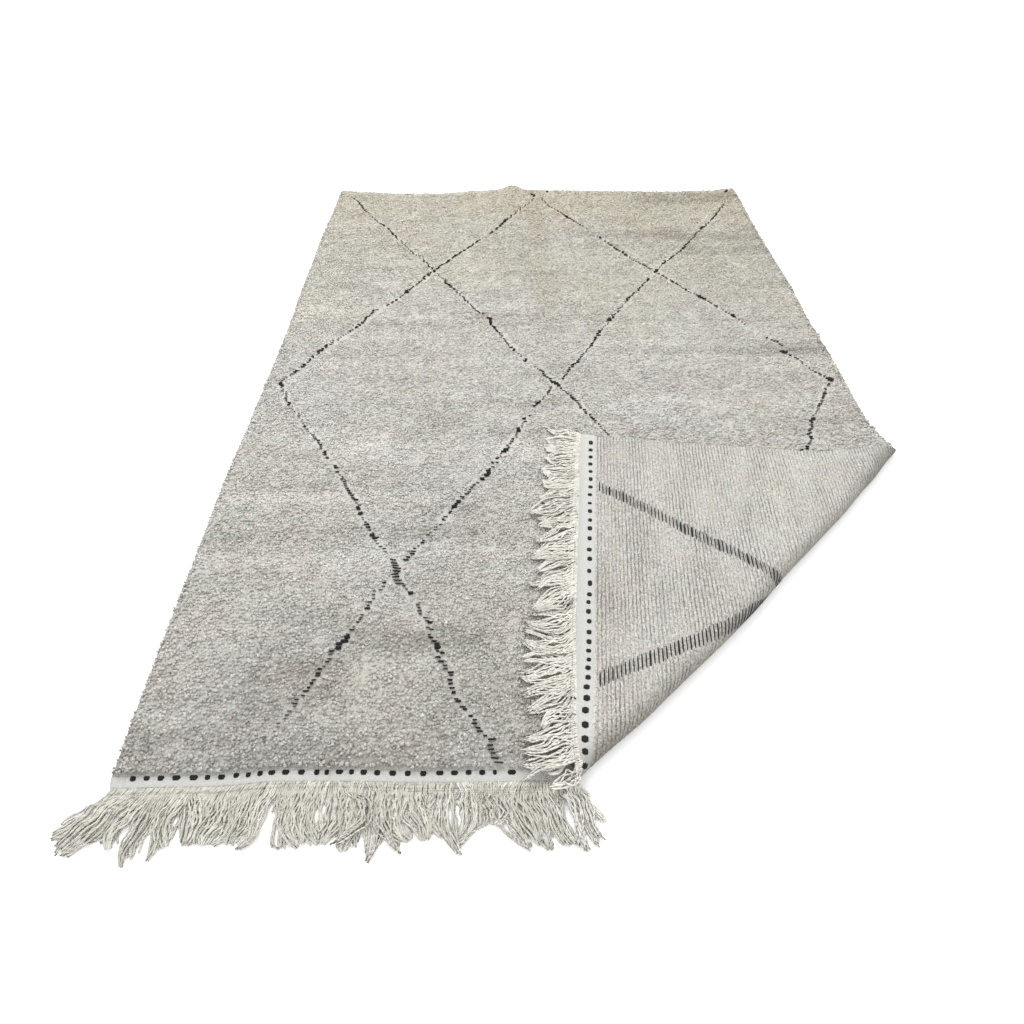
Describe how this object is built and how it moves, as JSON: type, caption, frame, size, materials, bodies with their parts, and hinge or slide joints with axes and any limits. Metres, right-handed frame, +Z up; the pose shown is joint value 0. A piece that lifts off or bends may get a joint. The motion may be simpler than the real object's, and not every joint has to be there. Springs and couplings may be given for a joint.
{
  "type": "hand-knotted wool rug with a turned-back corner",
  "caption": "Thick-piled rectangular wool rug lying flat, one near corner folded back over the pile on a soft roll, flat-woven hem and knotted fringe along the front end.",
  "frame": {"origin": "on the floor, under the middle of the pile field as it would lie with its corner turned down again", "axes": "+Z up through the pile, +Y along the rug's length from the fringed front end to the plain far end, +X across towards the side with the turned-back corner"},
  "size_m": [2.0681, 3.1176, 0.0547],
  "materials": {
    "heathered_wool": "matte",
    "fringe_yarn": "matte"
  },
  "bodies": {
    "root": {"rug_cloth": "heathered_wool", "fringe_floor": "fringe_yarn", "fringe_flap": "fringe_yarn"}
  },
  "joints": []
}
